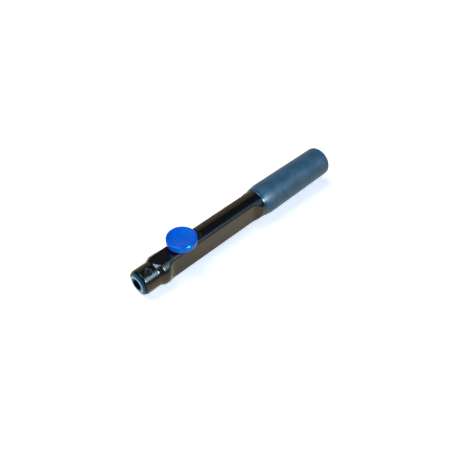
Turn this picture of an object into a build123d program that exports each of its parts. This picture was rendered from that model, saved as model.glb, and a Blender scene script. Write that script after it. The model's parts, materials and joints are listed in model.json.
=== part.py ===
from build123d import *
import math
import os

os.makedirs("parts", exist_ok=True)

# A hand-held vacuum pickup wand: a black turned handle with milled flats, a sprung poppet valve
# under a dished push button, a tip socket at the nose and a grip sleeve round the hose end.
# Millimetres. The origin is on the wand's axis at the collar's front face, +X runs to the hose
# end and +Z runs up through the button.

# Handle body, turned from half-inch bar
body_diameter = 12.7
collar_diameter = 10.72
collar_length = 6.9
shoulder_length = 2.1
collar_edge = 0.35
sleeve_start = 64.6
spigot_length = 18.0
spigot_step = 0.55

# Flats milled into the body, each depth measured in from the round
top_flat_cut = 0.75
rest_flat_cut = 0.6
side_flat_cut = 2.25
cutter_diameter = 9.52
grip_flat_start = 14.9
grip_flat_length = 43.7
side_flat_round = 1.6
top_flat_round = 0.25

# Nose bushing that takes the tip's shank
tip_bore_diameter = 4.2
tip_bore_edge = 0.35
bushing_diameter = 7.3
bushing_depth = 7.6
bushing_proud = 1.2
bushing_face_diameter = 6.8
bushing_lip_diameter = 9.9
bushing_lip_width = 0.12
bushing_lip_slope = 0.65
bushing_neck_diameter = 9.0
bushing_ring_inset = 0.92
shank_pocket_end = 12.5
screen_thickness = 0.25
screen_hole_diameter = 0.6
screen_hole_circle = 2.5
screen_hole_count = 6

# Set screw that holds the bushing, turned a little from the top
screw_diameter = 3.0
screw_place = 3.4
screw_turn = 20.0
screw_recess = 0.45
screw_hex = 1.5
screw_hex_depth = 0.9
screw_bite = 0.7
screw_point_slope = 0.5

# Valve under the button
valve_place = 22.15
stem_diameter = 1.8
button_travel = 0.7
button_diameter = 12.6
button_height = 2.95
button_gap = 0.75
button_dish = 0.75
button_rim = 0.95
button_edge = 0.7
button_foot_edge = 0.4
button_shell = 1.1
hub_diameter = 4.0
bush_diameter = 4.0
bush_proud = 0.05
port_diameter = 2.7
port_top = 2.2
seat_face = -0.6
seat_thickness = 0.8
chamber_diameter = 4.8
chamber_depth = 3.0
poppet_diameter = 4.2
poppet_thickness = 0.6
poppet_boss_diameter = 2.44
poppet_boss_height = 0.6
spring_guide_length = 0.4
plug_diameter = 6.0
plug_recess = 0.1
plug_cup_height = 0.55
pocket_diameter = 3.6
pocket_depth = 1.1
slot_width = 0.8
slot_depth = 0.45
spring_diameter = 2.9
spring_wire = 0.32
spring_turns = 4.0
spring_wire_sides = 6

# Air passages drilled along the handle
front_passage_diameter = 1.4
front_passage_height = 1.2
rear_passage_diameter = 1.6
rear_passage_height = -2.0

# Hose barb screwed into the tail
barb_thread_diameter = 7.0
barb_thread_length = 10.0
barb_hex = 8.0
barb_hex_length = 2.2
barb_stem_diameter = 5.8
barb_ridge_diameter = 7.0
barb_ridge_count = 3
barb_ridge_pitch = 4.2
barb_ridge_length = 2.75
barb_bore_diameter = 3.4

# Grip sleeve
sleeve_length = 43.8
sleeve_front_diameter = 14.26
sleeve_rear_diameter = 13.76
sleeve_front_lip = 0.12
sleeve_front_ease = 6.5
sleeve_rear_round = 1.15
sleeve_bore_diameter = 10.2
hose_socket_diameter = 10.8
hose_socket_depth = 8.6
hose_socket_edge = 0.3

# Seal rings: the section's diameter of each
bushing_ring_section = 0.6
grip_ring_section = 1.0
grip_ring_bite = 0.16
stem_ring_section = 0.8
poppet_ring_section = 0.8
plug_ring_section = 0.6
barb_ring_section = 0.8
sleeve_ring_section = 0.8
sleeve_ring_inset = 4.0
ring_sides = 8

# Clearances
press_gap = 0.01
thread_gap = 0.03
running_gap = 0.05
ring_gap = 0.02
groove_gap = 0.08

# Radii and levels that follow from the sizes above
body_radius = body_diameter / 2
collar_radius = collar_diameter / 2
spigot_radius = body_radius - spigot_step
body_end = sleeve_start + spigot_length
top_flat = body_radius - top_flat_cut
rest_flat = rest_flat_cut - body_radius
side_flat = body_radius - side_flat_cut
cutter_radius = cutter_diameter / 2
bushing_radius = bushing_diameter / 2
tip_bore_radius = tip_bore_diameter / 2
stem_radius = stem_diameter / 2
chamber_radius = chamber_diameter / 2
port_radius = port_diameter / 2
plug_radius = plug_diameter / 2
chamber_floor = seat_face - chamber_depth
plug_shoulder = chamber_floor - plug_ring_section
plug_foot = rest_flat + plug_recess
pocket_floor = plug_shoulder + plug_cup_height - pocket_depth
poppet_top = seat_face - poppet_ring_section
poppet_foot = poppet_top - poppet_thickness
bush_top = top_flat + bush_proud
bush_foot = port_top + stem_ring_section
button_foot = top_flat + button_gap
button_top = button_foot + button_height
hub_foot = bush_top + button_travel + press_gap
stem_top = button_top - button_dish - button_shell
thread_radius = barb_thread_diameter / 2
barb_ring_seat = body_end - barb_ring_section


def lathe_x(points):
    """A solid turned about the wand's axis from points of distance along it and radius."""
    return revolve(make_face(Polyline(*points, close=True)), axis=Axis.X)


def lathe_z(points):
    """A solid turned about the valve's axis from points of radius and height."""
    outline = make_face(Polyline(*points, close=True))
    return Pos(valve_place, 0, 0) * revolve(Plane.XZ * outline, axis=Axis.Z)


def rod_x(radius, start, end, height=0.0):
    """A round rod or bore along the wand, from start to end, at a height over the axis."""
    turned = Cylinder(radius, end - start, rotation=(0, 90, 0))
    return Pos((start + end) / 2, 0, height) * turned


def rod_z(radius, low, high):
    """A round rod or bore on the valve's axis."""
    return Pos(valve_place, 0, (low + high) / 2) * Cylinder(radius, high - low)


def ring_section(inner_radius, section):
    """A seal ring's round section as an even polygon, as points across and along its axis."""
    wire = section / 2
    corner = wire / math.cos(math.pi / ring_sides)
    turns = [math.pi * (2 * step + 1) / ring_sides for step in range(ring_sides)]
    centre = inner_radius + wire
    return [(centre + corner * math.cos(turn), corner * math.sin(turn)) for turn in turns]


def ring_x(inner_radius, section, middle):
    """A seal ring round the wand's axis."""
    return lathe_x([(middle + b, a) for a, b in ring_section(inner_radius, section)])


def ring_z(inner_radius, section, middle):
    """A seal ring round the valve's axis."""
    return lathe_z([(a, middle + b) for a, b in ring_section(inner_radius, section)])


def groove_x(floor_radius, outer_radius, section, middle):
    """The groove that a seal ring round the wand's axis lies in."""
    half = section / 2 + groove_gap
    return lathe_x([
        (middle - half, floor_radius),
        (middle + half, floor_radius),
        (middle + half, outer_radius),
        (middle - half, outer_radius),
    ])


def screw_frame(shape):
    """Turns a shape built up the Z axis to lie along the set screw."""
    return Pos(screw_place, 0, 0) * (Rot(screw_turn, 0, 0) * shape)


def build_handle_body():
    """The turned handle with its flats, bores and passages."""
    shoulder_end = collar_length + shoulder_length
    blank = lathe_x([
        (0, 0),
        (0, collar_radius - collar_edge),
        (collar_edge, collar_radius),
        (collar_length, collar_radius),
        (shoulder_end, body_radius),
        (sleeve_start, body_radius),
        (sleeve_start, spigot_radius),
        (body_end - collar_edge, spigot_radius),
        (body_end, spigot_radius - collar_edge),
        (body_end, 0),
    ])

    # The side flats end in the round of the cutter that stands upright
    grip_flat_end = grip_flat_start + grip_flat_length
    grip_middle = (grip_flat_start + grip_flat_end) / 2
    for side in (-1, 1):
        path_y = side * (side_flat + cutter_radius)
        sweep_box = Box(grip_flat_length, cutter_diameter, body_diameter)
        blank -= Pos(grip_middle, path_y, 0) * sweep_box
        for end in (grip_flat_start, grip_flat_end):
            blank -= Pos(end, path_y, 0) * Cylinder(cutter_radius, body_diameter)
    blank = fillet(side_flat_edges(blank), side_flat_round)

    # The top flat clears the button, and the rest flat runs on to the end of the side flats
    button_reach = button_diameter / 2 + running_gap
    top_flat_end = valve_place + button_reach - cutter_radius / 2
    for level, side, end in ((top_flat, 1, top_flat_end), (rest_flat, -1, grip_flat_end)):
        middle_z = level + side * body_radius / 2
        blank -= Pos(end / 2, 0, middle_z) * Box(end, cutter_diameter, body_radius)
        blank -= Pos(end, 0, middle_z) * Cylinder(cutter_radius, body_radius)
        level_edges = [edge for edge in blank.edges().filter_by(GeomType.LINE)
                       if on_body_round(edge) and abs((edge @ 0.5).Z - level) < press_gap]
        blank = fillet(level_edges, top_flat_round)

    # Nose: the bushing's bore, the grip ring's recess and the shank's pocket
    grip_recess_end = bushing_depth + grip_ring_section + groove_gap
    grip_recess_radius = tip_bore_radius - grip_ring_bite + grip_ring_section + ring_gap
    blank -= rod_x(bushing_radius + thread_gap, 0, bushing_depth)
    blank -= rod_x(grip_recess_radius, bushing_depth, grip_recess_end)
    blank -= rod_x(tip_bore_radius, grip_recess_end, shank_pocket_end)
    blank -= screw_frame(Pos(0, 0, body_radius / 2) * Cylinder(screw_diameter / 2, body_radius))

    # Valve: gland from above, port, chamber and plug thread from below
    ring_recess = stem_radius + stem_ring_section + ring_gap * 2
    blank -= rod_z(bush_diameter / 2 + press_gap, bush_foot, body_radius)
    blank -= rod_z(ring_recess, port_top, bush_foot)
    blank -= rod_z(port_radius, seat_face, port_top)
    blank -= rod_z(chamber_radius, chamber_floor, seat_face + seat_thickness)
    blank -= rod_z(plug_radius, -body_radius, chamber_floor)

    # Tail: thread, ring seat, and the grooves for the rings that hold the sleeve
    thread_start = body_end - barb_thread_length - thread_gap
    blank -= rod_x(thread_radius + thread_gap, thread_start, body_end)
    blank -= rod_x(thread_radius + barb_ring_section + ring_gap * 2, barb_ring_seat, body_end)
    for middle in sleeve_ring_places():
        floor = spigot_radius - sleeve_ring_section + ring_gap
        blank -= groove_x(floor, body_radius, sleeve_ring_section, middle)

    # Air passages
    blank -= rod_x(front_passage_diameter / 2, shank_pocket_end, valve_place, front_passage_height)
    blank -= rod_x(rear_passage_diameter / 2, valve_place, thread_start, rear_passage_height)
    return blank


def on_body_round(edge):
    """Whether the middle of an edge lies on the handle's full round."""
    middle = edge @ 0.5
    return abs(math.hypot(middle.Y, middle.Z) - body_radius) < press_gap


def side_flat_edges(blank):
    """The edges that the side flats leave on the round, without the turned circles and the seam."""
    edges = []
    for edge in blank.edges():
        seam = edge.geom_type == GeomType.LINE and abs((edge @ 0.5).Z) < press_gap
        if on_body_round(edge) and edge.geom_type != GeomType.CIRCLE and not seam:
            edges.append(edge)
    return edges


def sleeve_ring_places():
    """The two rings under the sleeve, one near each end of the spigot."""
    return (sleeve_start + sleeve_ring_inset, body_end - sleeve_ring_inset)


def build_tip_bushing():
    """The bushing that stands proud of the collar and takes the tip's shank."""
    front = -bushing_proud
    lip = front + bushing_lip_slope
    groove_middle = bushing_depth - bushing_ring_inset
    bushing = lathe_x([
        (front + tip_bore_edge, tip_bore_radius),
        (front, tip_bore_radius + tip_bore_edge),
        (front, bushing_face_diameter / 2),
        (lip, bushing_lip_diameter / 2),
        (lip + bushing_lip_width, bushing_lip_diameter / 2),
        (lip + bushing_lip_width, bushing_neck_diameter / 2),
        (0, bushing_neck_diameter / 2),
        (0, bushing_radius),
        (bushing_depth, bushing_radius),
        (bushing_depth, tip_bore_radius),
    ])
    floor = bushing_radius + thread_gap - bushing_ring_section
    bushing -= groove_x(floor, body_radius, bushing_ring_section, groove_middle)
    dimple = Pos(0, 0, bushing_radius - screw_bite + body_radius / 2)
    bushing -= screw_frame(dimple * Cylinder(screw_diameter / 2, body_radius))
    ring = ring_x(floor + ring_gap / 2, bushing_ring_section - ring_gap, groove_middle)
    return bushing, ring


def build_tip_grip_ring():
    """The ring behind the bushing that grips and seals the shank."""
    middle = bushing_depth + (grip_ring_section + groove_gap) / 2
    return ring_x(tip_bore_radius - grip_ring_bite, grip_ring_section, middle)


def build_inlet_screen():
    """A thin perforated disc at the bottom of the shank's pocket."""
    radius = tip_bore_radius - press_gap
    screen = rod_x(radius, shank_pocket_end - screen_thickness, shank_pocket_end)
    hole = rod_x(screen_hole_diameter / 2, 0, shank_pocket_end + screen_thickness)
    screen -= hole
    for step in range(screen_hole_count):
        turn = Rot(360 / screen_hole_count * step, 0, 0)
        screen -= turn * (Pos(0, 0, screen_hole_circle / 2) * hole)
    return screen


def build_set_screw():
    """The recessed set screw with a hexagon socket and a cone point."""
    radius = screw_diameter / 2 - thread_gap
    head = collar_radius - screw_recess
    point = bushing_radius - screw_bite + press_gap
    cone = screw_point_slope
    outline = make_face(Polyline((0, point), (radius - cone, point), (radius, point + cone),
                                 (radius, head), (0, head), close=True))
    screw = revolve(Plane.XZ * outline, axis=Axis.Z)
    socket = extrude(RegularPolygon(screw_hex / 2, 6, major_radius=False), screw_hex_depth)
    screw -= Pos(0, 0, head - screw_hex_depth) * socket
    return screw_frame(screw)


def build_push_button():
    """The round button, dished on top and hollow below round its hub."""
    radius = button_diameter / 2
    rim_radius = radius - button_rim
    dish_floor = button_top - button_dish
    inner = radius - button_shell
    ceiling = dish_floor - button_shell
    hub = hub_diameter / 2
    outline = [
        TangentArc((0, dish_floor), (rim_radius, button_top), tangent=(1, 0)),
        Line((rim_radius, button_top), (radius - button_edge, button_top)),
        Bezier((radius - button_edge, button_top), (radius, button_top),
               (radius, button_top - button_edge)),
        Line((radius, button_top - button_edge), (radius, button_foot + button_foot_edge)),
        Line((radius, button_foot + button_foot_edge), (radius - button_foot_edge, button_foot)),
        Line((radius - button_foot_edge, button_foot), (inner, button_foot)),
        Line((inner, button_foot), (inner, ceiling)),
        Line((inner, ceiling), (hub, ceiling)),
        Line((hub, ceiling), (hub, hub_foot)),
        Line((hub, hub_foot), (0, hub_foot)),
        Line((0, hub_foot), (0, dish_floor)),
    ]
    button = Pos(valve_place, 0, 0) * revolve(Plane.XZ * make_face(outline), axis=Axis.Z)
    return button - rod_z(stem_radius + press_gap, hub_foot - press_gap, stem_top)


def build_valve_stem():
    """The steel stem with the poppet at its foot, in one piece."""
    boss = poppet_boss_diameter / 2
    guide = spring_diameter / 2 - spring_wire
    boss_top = poppet_top + poppet_boss_height
    return lathe_z([
        (0, poppet_foot - spring_guide_length),
        (guide, poppet_foot - spring_guide_length),
        (guide, poppet_foot),
        (poppet_diameter / 2, poppet_foot),
        (poppet_diameter / 2, poppet_top),
        (boss, poppet_top),
        (boss, boss_top),
        (stem_radius, boss_top),
        (stem_radius, stem_top - press_gap),
        (0, stem_top - press_gap),
    ])


def build_poppet_seal():
    """The ring on the poppet that shuts the seat."""
    section = poppet_ring_section - ring_gap
    middle = poppet_top + poppet_ring_section / 2
    return ring_z(poppet_boss_diameter / 2 + press_gap, section, middle)


def build_valve_seat():
    """The pressed-in seat that the poppet closes against."""
    outer = chamber_radius - press_gap
    return rod_z(outer, seat_face, seat_face + seat_thickness) - rod_z(
        port_radius, seat_face - seat_thickness, seat_face + 2 * seat_thickness)


def build_stem_bush():
    """The pressed-in guide bush round the stem."""
    inner = stem_radius + running_gap
    return rod_z(bush_diameter / 2, bush_foot, bush_top) - rod_z(inner, 0, body_diameter)


def build_stem_seal_ring():
    """The ring below the bush that seals the stem."""
    section = stem_ring_section - ring_gap * 2
    return ring_z(stem_radius + ring_gap, section, port_top + stem_ring_section / 2)


def build_valve_plug():
    """The slotted screw plug that closes the chamber and holds the spring."""
    outer = plug_radius - thread_gap
    cup = chamber_radius - running_gap
    pocket = pocket_diameter / 2
    cup_top = plug_shoulder + plug_ring_section + plug_cup_height
    plug = lathe_z([
        (0, plug_foot),
        (outer, plug_foot),
        (outer, plug_shoulder),
        (cup, plug_shoulder),
        (cup, cup_top),
        (pocket, cup_top),
        (pocket, pocket_floor),
        (0, pocket_floor),
    ])
    slot = Box(plug_diameter, slot_width, slot_depth * 2)
    return plug - Pos(valve_place, 0, plug_foot) * slot


def build_plug_seal_ring():
    """The ring between the plug's shoulder and the chamber's floor."""
    section = plug_ring_section - ring_gap
    middle = plug_shoulder + plug_ring_section / 2
    return ring_z(chamber_radius - running_gap + press_gap, section, middle)


def build_return_spring():
    """The coil spring that lifts the poppet and the button."""
    wire = spring_wire / 2
    low = pocket_floor + wire + press_gap
    high = poppet_foot - wire - press_gap
    height = high - low
    coil_radius = spring_diameter / 2 - wire
    path = Helix(height / spring_turns, height, coil_radius)
    section = Plane(path @ 0, z_dir=path % 0) * RegularPolygon(wire, spring_wire_sides)
    return Pos(valve_place, 0, low) * sweep(section, path=path, is_frenet=True)


def build_hose_barb():
    """The fitting that the vacuum hose is pushed on, with its ridges in one profile."""
    stem = barb_stem_diameter / 2
    ridge = barb_ridge_diameter / 2
    hex_start = body_end
    hex_end = hex_start + barb_hex_length
    outline = [
        (hex_start - barb_thread_length, 0),
        (hex_start - barb_thread_length, thread_radius),
        (hex_start, thread_radius),
        (hex_start, stem),
        (hex_end, stem),
    ]
    for count in range(barb_ridge_count):
        ridge_end = hex_end + barb_ridge_pitch * (count + 1)
        outline.append((ridge_end - barb_ridge_length, stem))
        outline.append((ridge_end - barb_ridge_length, ridge))
        outline.append((ridge_end, stem))
    barb_end = hex_end + barb_ridge_pitch * barb_ridge_count
    outline.append((barb_end, 0))
    across = RegularPolygon(barb_hex / 2, 6, major_radius=False)
    hexagon = Pos(hex_start, 0, 0) * (Rot(0, 90, 0) * extrude(across, barb_hex_length))
    barb = lathe_x(outline) + hexagon
    bore_start = hex_start - barb_thread_length
    return barb - rod_x(barb_bore_diameter / 2, bore_start, barb_end)


def build_barb_seal_ring():
    """The ring under the barb's hexagon."""
    section = barb_ring_section - ring_gap
    return ring_x(thread_radius + ring_gap, section, barb_ring_seat + barb_ring_section / 2)


def build_tail_sleeve():
    """The grip sleeve: eased front rim, slight taper, rounded tail and the hose's socket."""
    end = sleeve_start + sleeve_length
    front = sleeve_front_diameter / 2
    rear = sleeve_rear_diameter / 2
    fit = spigot_radius + running_gap
    bore = sleeve_bore_diameter / 2
    mouth = hose_socket_diameter / 2
    socket_start = end - hose_socket_depth
    ease_end = sleeve_start + sleeve_front_ease
    lip = body_radius + sleeve_front_lip
    outline = [
        Line((sleeve_start, fit), (sleeve_start, lip)),
        TangentArc((ease_end, front), (sleeve_start, lip), tangent=(-1, 0)),
        Line((ease_end, front), (end - sleeve_rear_round, rear)),
        Bezier((end - sleeve_rear_round, rear), (end, rear), (end, rear - sleeve_rear_round)),
        Line((end, rear - sleeve_rear_round), (end, mouth + hose_socket_edge)),
        Line((end, mouth + hose_socket_edge), (end - hose_socket_edge, mouth)),
        Line((end - hose_socket_edge, mouth), (socket_start, mouth)),
        Line((socket_start, mouth), (socket_start, bore)),
        Line((socket_start, bore), (body_end + running_gap, bore)),
        Line((body_end + running_gap, bore), (body_end + running_gap, fit)),
        Line((body_end + running_gap, fit), (sleeve_start, fit)),
    ]
    return revolve(make_face(outline), axis=Axis.X)


def build_sleeve_rings():
    """The two rings that hold the sleeve by friction."""
    section = sleeve_ring_section + running_gap - ring_gap * 2
    inner = spigot_radius - sleeve_ring_section + ring_gap * 2
    return [ring_x(inner, section, middle) for middle in sleeve_ring_places()]


bushing, bushing_ring = build_tip_bushing()
front_sleeve_ring, rear_sleeve_ring = build_sleeve_rings()
parts = {
    "handle_body": build_handle_body(),
    "tip_bushing": bushing,
    "bushing_seal_ring": bushing_ring,
    "tip_grip_ring": build_tip_grip_ring(),
    "inlet_screen": build_inlet_screen(),
    "set_screw": build_set_screw(),
    "push_button": build_push_button(),
    "valve_stem": build_valve_stem(),
    "poppet_seal": build_poppet_seal(),
    "valve_seat": build_valve_seat(),
    "stem_bush": build_stem_bush(),
    "stem_seal_ring": build_stem_seal_ring(),
    "return_spring": build_return_spring(),
    "valve_plug": build_valve_plug(),
    "plug_seal_ring": build_plug_seal_ring(),
    "hose_barb": build_hose_barb(),
    "barb_seal_ring": build_barb_seal_ring(),
    "sleeve_ring_front": front_sleeve_ring,
    "sleeve_ring_rear": rear_sleeve_ring,
    "tail_sleeve": build_tail_sleeve(),
}
for name, shape in parts.items():
    export_step(shape, f"parts/{name}.step")
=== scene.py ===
import json
import math

import bpy
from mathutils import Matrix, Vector

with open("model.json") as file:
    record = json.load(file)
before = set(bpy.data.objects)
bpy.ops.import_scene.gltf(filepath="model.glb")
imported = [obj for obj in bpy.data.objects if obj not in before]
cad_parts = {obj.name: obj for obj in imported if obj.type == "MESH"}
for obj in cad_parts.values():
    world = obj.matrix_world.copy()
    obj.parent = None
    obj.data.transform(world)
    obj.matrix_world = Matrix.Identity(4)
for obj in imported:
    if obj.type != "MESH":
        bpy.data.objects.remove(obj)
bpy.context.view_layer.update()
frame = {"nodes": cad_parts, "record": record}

# Metres, in the part's own frame: X runs from the nose to the hose end, Z up through the button
SCENE = bpy.context.scene
SCENE.view_settings.view_transform = "Standard"

# The photograph's camera, fitted to the wand's outline
CAMERA_TARGET = Vector((0.04604, 0.0, -0.00043))
CAMERA_AZIMUTH = -44.64
CAMERA_ELEVATION = 44.03
CAMERA_DISTANCE = 0.2425
CAMERA_LENS = 45.85
SENSOR_WIDTH = 36.0

# The wand lies with its nose a little low, on its rest flat's front edge and the sleeve
REST_FRONT = Vector((0.0078, 0.0, -0.00575))
REST_REAR = Vector((0.0700, 0.0, -0.00712))
FLOOR_REACH = 3.0

# How far the bump maps lift the surface, and the height of the sleeve's rings
FINE_LIFT = 0.00001
GRAIN_LIFT = 0.00002
RING_LIFT = 0.00003

# The wave texture repeats this many metres apart at a scale of one
WAVE_PERIOD = 2.0 * math.pi / 20.0

# Area lamps: name, azimuth, elevation (degrees), distance, size (m), power (W), colour, what they light.
# The cards and the glint are seen only in gloss, the lamps and fills only light the matt share.
LAMPS = [
    ("key lamp", 14.0, 36.5, 0.6, 0.14, 0.3, (0.9, 0.96, 1.0), "diffuse"),
    ("key glint", 2.0, 38.0, 0.6, 0.12, 23.0, (0.7, 0.9, 1.0), "glossy"),
    ("side card", 33.0, 38.0, 0.7, 0.42, 0.9, (0.26, 0.62, 1.0), "glossy"),
    ("far card", 148.0, 23.0, 0.7, 0.55, 0.45, (1.0, 0.76, 0.5), "glossy"),
    ("front card", -102.0, 61.0, 0.7, 0.5, 9.0, (0.54, 0.77, 1.0), "glossy"),
    ("near fill", -30.0, 10.0, 0.7, 0.5, 3.3, (0.82, 0.97, 1.0), "diffuse"),
    ("nose fill", -85.0, 15.0, 0.6, 0.3, 0.4, (0.8, 0.93, 1.0), "diffuse"),
    ("back lamp", -165.0, 62.0, 0.8, 0.6, 6.0, (1.0, 0.97, 0.92), "diffuse"),
]


def direction(azimuth, elevation):
    """The way from the object to a viewer or lamp at two angles in degrees, as a unit vector."""
    azimuth, elevation = math.radians(azimuth), math.radians(elevation)
    flat = math.cos(elevation)
    return Vector((math.sin(azimuth) * flat, -math.cos(azimuth) * flat, math.sin(elevation)))


def place_facing_target(item, azimuth, elevation, distance):
    """Puts a camera or lamp round the camera's target and turns it towards that."""
    back = direction(azimuth, elevation)
    item.location = CAMERA_TARGET + back * distance
    item.rotation_mode = "QUATERNION"
    item.rotation_quaternion = (-back).to_track_quat("-Z", "Y")
    SCENE.collection.objects.link(item)


def rgba(value):
    """A value or a colour as the four numbers that a colour socket takes."""
    if isinstance(value, (int, float)):
        value = (value, value, value)
    return (*value, 1.0)


class Nodes:
    """A small helper that adds nodes to one material and links them by socket name."""

    def __init__(self, name):
        self.material = bpy.data.materials.new(name)
        self.material.use_nodes = True
        self.tree = self.material.node_tree
        self.shader = self.tree.nodes["Principled BSDF"]

    def add(self, kind, **values):
        """Adds a node; each value is one of its settings or, failing that, one of its sockets."""
        node = self.tree.nodes.new(kind)
        for key, value in values.items():
            if hasattr(node, key):
                setattr(node, key, value)
            else:
                node.inputs[key.replace("_", " ")].default_value = value
        return node

    def link(self, source, target):
        self.tree.links.new(source, target)

    def set(self, **values):
        """Sets plain values on the shader, by socket name with underscores for spaces."""
        for key, value in values.items():
            self.shader.inputs[key.replace("_", " ")].default_value = value

    def dress(self, colour, roughness, normal):
        """Links the three outputs that every piece's shader takes."""
        self.link(colour, self.shader.inputs["Base Color"])
        self.link(roughness, self.shader.inputs["Roughness"])
        self.link(normal, self.shader.inputs["Normal"])

    def surface(self, shader):
        self.link(shader, self.tree.nodes["Material Output"].inputs["Surface"])

    def position(self, scale=(1.0, 1.0, 1.0)):
        """Object-space position, stretched by a scale along each axis."""
        mapping = self.add("ShaderNodeMapping", Scale=scale)
        self.link(self.add("ShaderNodeTexCoord").outputs["Object"], mapping.inputs["Vector"])
        return mapping.outputs["Vector"]

    def distance(self, vector):
        """The length of a vector."""
        node = self.add("ShaderNodeVectorMath", operation="LENGTH")
        self.link(vector, node.inputs[0])
        return node.outputs["Value"]

    def noise(self, scale, vector, detail, roughness=0.55):
        node = self.add("ShaderNodeTexNoise", Scale=scale, Detail=detail, Roughness=roughness)
        self.link(vector, node.inputs["Vector"])
        return node.outputs["Fac"]

    def ramp(self, factor, low, high, low_at=0.3, high_at=0.7):
        """Turns a factor into a value or colour between low and high."""
        return self.stops(factor, [(low_at, low), (high_at, high)])

    def stops(self, factor, steps):
        """Turns a factor into the colours of a list of places and colours."""
        node = self.add("ShaderNodeValToRGB")
        ends = node.color_ramp.elements
        for index, (place, colour) in enumerate(steps):
            stop = ends[index] if index < 2 else ends.new(place)
            stop.position = place
            stop.color = rgba(colour)
        self.link(factor, node.inputs["Fac"])
        return node.outputs["Color"]

    def bump(self, height, strength, distance, normal=None):
        node = self.add("ShaderNodeBump", Strength=strength, Distance=distance)
        self.link(height, node.inputs["Height"])
        if normal is not None:
            self.link(normal, node.inputs["Normal"])
        return node.outputs["Normal"]

    def turned_bump(self, pitch, strength, distance, normal):
        """Fine rings left by turning: a wave along X, with a little wander in its depth."""
        wave = self.add("ShaderNodeTexWave", wave_type="BANDS", bands_direction="X",
                        Scale=WAVE_PERIOD / pitch, Distortion=0.6, Detail=2.0)
        self.link(self.position(), wave.inputs["Vector"])
        return self.bump(wave.outputs["Fac"], strength, distance, normal)

    def soft_edges(self, radius):
        """Normals that round off the sharp edges of a mesh within a radius."""
        return self.add("ShaderNodeBevel", samples=12, Radius=radius).outputs["Normal"]

    def from_axis(self, radius):
        """The distance from the wand's axis, as a share of a radius."""
        share = self.add("ShaderNodeMath", operation="DIVIDE")
        self.link(self.distance(self.position((0.0, 1.0, 1.0))), share.inputs[0])
        share.inputs[1].default_value = radius
        return share.outputs[0]

    def along(self, start, end):
        """A share that runs from 0 to 1 along X, clamped at both ends."""
        split = self.add("ShaderNodeSeparateXYZ")
        self.link(self.position(), split.inputs[0])
        node = self.add("ShaderNodeMapRange", From_Min=start, From_Max=end)
        self.link(split.outputs["X"], node.inputs["Value"])
        return node.outputs["Result"]

    def blend(self, factor, first, second, mode="MIX"):
        """Mixes two colours or values by a factor; each of the three is a number, a colour or a socket."""
        node = self.add("ShaderNodeMix", data_type="RGBA", blend_type=mode)
        sockets = {socket.identifier: socket for socket in node.inputs}
        for source, name in ((first, "A_Color"), (second, "B_Color")):
            if isinstance(source, (int, float, tuple)):
                sockets[name].default_value = rgba(source)
            else:
                self.link(source, sockets[name])
        if isinstance(factor, (int, float)):
            sockets["Factor_Float"].default_value = factor
        else:
            self.link(factor, sockets["Factor_Float"])
        return next(socket for socket in node.outputs if socket.identifier == "Result_Color")

    def mix(self, factor, first, second):
        """Mixes two shaders by a factor."""
        node = self.add("ShaderNodeMixShader")
        for source, target in zip((factor, first, second), node.inputs):
            self.link(source, target)
        return node.outputs[0]


def reach_along_x(name):
    """Where a CAD piece starts and ends along the wand."""
    places = [corner[0] for corner in frame["nodes"][name].bound_box]
    return min(places), max(places)


def black_polymer():
    """Satin black polymer of the handle, turned round the axis and milled on its flats."""
    nodes = Nodes("handle black")
    broad = nodes.noise(120.0, nodes.position(), detail=3.0)
    streaks = nodes.noise(900.0, nodes.position((0.15, 1.0, 1.0)), detail=5.0)
    ringed = nodes.turned_bump(pitch=0.0001131, strength=0.01, distance=0.000005,
                               normal=nodes.soft_edges(0.0003))
    nodes.dress(
        nodes.ramp(broad, (0.0018, 0.002, 0.0026), (0.0035, 0.0035, 0.004)),
        nodes.ramp(streaks, 0.17, 0.21),
        nodes.bump(streaks, 0.02, FINE_LIFT, ringed))
    nodes.set(IOR=1.52)
    return nodes.material


def glossy_plastic(name, dark, light, rough, tint=(1.0, 1.0, 1.0), ior=1.5):
    """Moulded gloss polymer with faint flow variation and an orange-peel surface."""
    nodes = Nodes(name)
    place = nodes.position()
    flow = nodes.noise(160.0, place, detail=3.0)
    peel = nodes.noise(1400.0, place, detail=2.0)
    nodes.dress(
        nodes.ramp(flow, dark, light),
        nodes.ramp(flow, *rough),
        nodes.bump(peel, 0.05, FINE_LIFT, nodes.soft_edges(0.0008)))
    nodes.set(IOR=ior, Specular_Tint=rgba(tint))
    return nodes.material


def bushing_cyan():
    """Light blue ring with painted shade in its bore and towards its outer lip."""
    nodes = Nodes("bushing cyan")
    flow = nodes.noise(300.0, nodes.position(), detail=3.0)
    # Painted light by distance from the axis: painted shade darkens the bore and the outer lip, with the lightest
    # blue on the face between them.
    rings = nodes.stops(nodes.from_axis(0.005), [
        (0.46, (0.001, 0.002, 0.008)),
        (0.54, (0.02, 0.12, 0.28)),
        (0.65, (0.16, 0.62, 1.0)),
        (0.72, (0.06, 0.32, 0.56)),
        (0.79, (0.005, 0.06, 0.12)),
        (1.0, (0.003, 0.03, 0.06)),
    ])
    nodes.dress(
        nodes.blend(1.0, rings, nodes.ramp(flow, 0.85, 1.0), "MULTIPLY"),
        nodes.ramp(flow, 0.1, 0.18),
        nodes.bump(flow, 0.05, FINE_LIFT))
    nodes.set(IOR=1.42, Specular_IOR_Level=0.2, Specular_Tint=rgba((0.3, 0.7, 1.0)))
    return nodes.material


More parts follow.
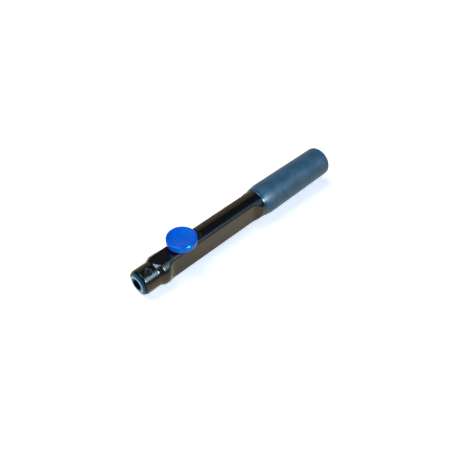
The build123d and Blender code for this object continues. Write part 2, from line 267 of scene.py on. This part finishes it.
def soft_sleeve():
    """Satin blue-grey sleeve of soft polymer: faint rings and mottling, a glossier front rim, and painted shade
    that darkens the tail rim.
    """
    nodes = Nodes("sleeve greyblue")
    front, tail = reach_along_x("tail_sleeve")
    place = nodes.position()
    mottle = nodes.noise(240.0, place, detail=6.0, roughness=0.65)
    grain = nodes.noise(2600.0, place, detail=3.0)
    mottled = nodes.ramp(mottle, (0.012, 0.066, 0.136), (0.024, 0.094, 0.184), 0.38, 0.62)
    behind_rim = nodes.along(front + 0.0008, front + 0.002)
    # Painted shade: the colour darkens over the last millimetre towards the tail rim.
    painted_shade_tail_rim = nodes.along(tail - 0.001, tail - 0.0004)
    ringed = nodes.turned_bump(pitch=0.0005655, strength=0.05, distance=RING_LIFT,
                               normal=nodes.soft_edges(0.0006))
    nodes.dress(
        nodes.blend(painted_shade_tail_rim, mottled, (0.006, 0.03, 0.06)),
        nodes.blend(behind_rim, 0.2, nodes.ramp(mottle, 0.4, 0.5)),
        nodes.bump(grain, 0.12, GRAIN_LIFT, ringed))
    nodes.link(nodes.blend(behind_rim, 0.5, 0.34), nodes.shader.inputs["Specular IOR Level"])
    nodes.set(IOR=1.5, Specular_Tint=rgba((0.78, 0.88, 1.0)))
    nodes.set(Sheen_Weight=0.12, Sheen_Roughness=0.4, Sheen_Tint=rgba((1.0, 0.86, 0.72)))
    return nodes.material


def seal_rubber():
    """Dark rubber of the seal rings, with a fine speckle."""
    nodes = Nodes("seal rubber")
    speck = nodes.noise(3000.0, nodes.position(), detail=3.0)
    nodes.dress(
        nodes.ramp(speck, 0.012, 0.022),
        nodes.ramp(speck, 0.5, 0.68),
        nodes.bump(speck, 0.1, FINE_LIFT))
    return nodes.material


def turned_metal(name, dark, light, rough):
    """Bare or blackened metal with fine turning marks."""
    nodes = Nodes(name)
    streaks = nodes.noise(1500.0, nodes.position((4.0, 1.0, 1.0)), detail=4.0)
    nodes.dress(
        nodes.ramp(streaks, dark, light),
        nodes.ramp(streaks, *rough),
        nodes.bump(streaks, 0.1, FINE_LIFT))
    nodes.set(Metallic=1.0)
    return nodes.material


def dress_nodes():
    """Gives each CAD node the material of its slot."""
    materials = {
        "handle_black": black_polymer(),
        "bushing_cyan": bushing_cyan(),
        "button_blue": glossy_plastic(
            "button blue", (0.0, 0.088, 0.68), (0.0, 0.118, 0.82), (0.2, 0.25), (0.02, 0.4, 0.8), ior=1.9),
        "sleeve_greyblue": soft_sleeve(),
        "seal_rubber": seal_rubber(),
        "steel": turned_metal("steel", (0.42, 0.42, 0.43), (0.6, 0.6, 0.6), (0.2, 0.32)),
        "screw_black": turned_metal("screw black", (0.012, 0.013, 0.016), (0.024, 0.026, 0.03), (0.34, 0.46)),
        "bush_plastic": glossy_plastic("bush plastic", 0.02, 0.03, (0.35, 0.45)),
        "barb_metal": turned_metal("barb metal", (0.55, 0.56, 0.58), (0.72, 0.73, 0.74), (0.22, 0.34)),
    }
    for entry in frame["record"]["subparts"]:
        node = frame["nodes"][entry["node"]]
        material = materials[entry["material_slot"]]
        if not node.material_slots:
            node.data.materials.append(material)
        for slot in node.material_slots:
            slot.material = material


def white_floor():
    """A white floor that glows for the camera, pale blue near the wand, where the glow tints the lamps' shadow,
    and white further off; it also carries a painted reflection, glowing warm in gloss where it is seen steeply
    and dark at grazing.
    """
    nodes = Nodes("white floor")
    nodes.set(Base_Color=rgba((0.8, 0.68, 0.54)), Roughness=0.9, Specular_IOR_Level=0.0)
    path = nodes.add("ShaderNodeLightPath").outputs
    facing = nodes.add("ShaderNodeLayerWeight", Blend=0.5).outputs["Facing"]

    def emission(colour):
        node = nodes.add("ShaderNodeEmission")
        nodes.link(colour, node.inputs["Color"])
        return node.outputs[0]

    # Camera glow: pale blue near the wand, tinting the lamps' shadow there, and white further off.
    seen = emission(nodes.ramp(nodes.distance(nodes.position()), (0.58, 0.68, 0.83), 1.0, 0.2, 0.45))
    # Painted reflection: the floor glows warm only in gloss where it is seen steeply, and dark at grazing.
    painted_reflection = emission(nodes.ramp(facing, (0.6, 0.54, 0.4), (0.03, 0.035, 0.04), 0.78, 0.93))
    dark = nodes.add("ShaderNodeEmission", Strength=0.0).outputs[0]
    glow = nodes.mix(path["Is Camera Ray"], nodes.mix(path["Is Glossy Ray"], dark, painted_reflection), seen)
    both = nodes.add("ShaderNodeAddShader")
    nodes.link(nodes.shader.outputs[0], both.inputs[0])
    nodes.link(glow, both.inputs[1])
    nodes.surface(both.outputs[0])
    return nodes.material


def add_floor():
    """A large square floor under the two places where the wand rests."""
    along = (REST_REAR - REST_FRONT).normalized() * FLOOR_REACH
    across = Vector((0.0, FLOOR_REACH, 0.0))
    corners = [REST_FRONT + along * a + across * b for a, b in ((-1, -1), (1, -1), (1, 1), (-1, 1))]
    mesh = bpy.data.meshes.new("floor")
    mesh.from_pydata([tuple(corner) for corner in corners], [], [(0, 1, 2, 3)])
    mesh.materials.append(white_floor())
    floor = bpy.data.objects.new("floor", mesh)
    SCENE.collection.objects.link(floor)


def add_camera():
    data = bpy.data.cameras.new("camera")
    data.lens = CAMERA_LENS
    data.sensor_width = SENSOR_WIDTH
    data.clip_start = 0.005
    data.clip_end = 20.0
    camera = bpy.data.objects.new("camera", data)
    place_facing_target(camera, CAMERA_AZIMUTH, CAMERA_ELEVATION, CAMERA_DISTANCE)
    SCENE.camera = camera


def add_lamp(name, azimuth, elevation, distance, size, power, colour, lights):
    """A square soft lamp aimed at the middle of the wand, for its matt or its glossy share."""
    data = bpy.data.lights.new(name, "AREA")
    data.shape = "SQUARE"
    data.size = size
    data.energy = power
    data.color = colour
    lamp = bpy.data.objects.new(name, data)
    lamp.visible_diffuse = lights == "diffuse"
    lamp.visible_glossy = lights == "glossy"
    place_facing_target(lamp, azimuth, elevation, distance)


def add_world():
    """Dim light all round, white to the camera."""
    world = bpy.data.worlds.new("world")
    world.use_nodes = True
    tree = world.node_tree
    dim = tree.nodes["Background"]
    dim.inputs["Color"].default_value = rgba((0.7, 0.82, 1.0))
    dim.inputs["Strength"].default_value = 0.05
    white = tree.nodes.new("ShaderNodeBackground")
    white.inputs["Color"].default_value = rgba(1.0)
    path = tree.nodes.new("ShaderNodeLightPath")
    pick = tree.nodes.new("ShaderNodeMixShader")
    tree.links.new(path.outputs["Is Camera Ray"], pick.inputs["Fac"])
    tree.links.new(dim.outputs[0], pick.inputs[1])
    tree.links.new(white.outputs[0], pick.inputs[2])
    tree.links.new(pick.outputs[0], tree.nodes["World Output"].inputs["Surface"])
    SCENE.world = world


dress_nodes()
add_camera()
add_floor()
add_world()
for lamp_row in LAMPS:
    add_lamp(*lamp_row)
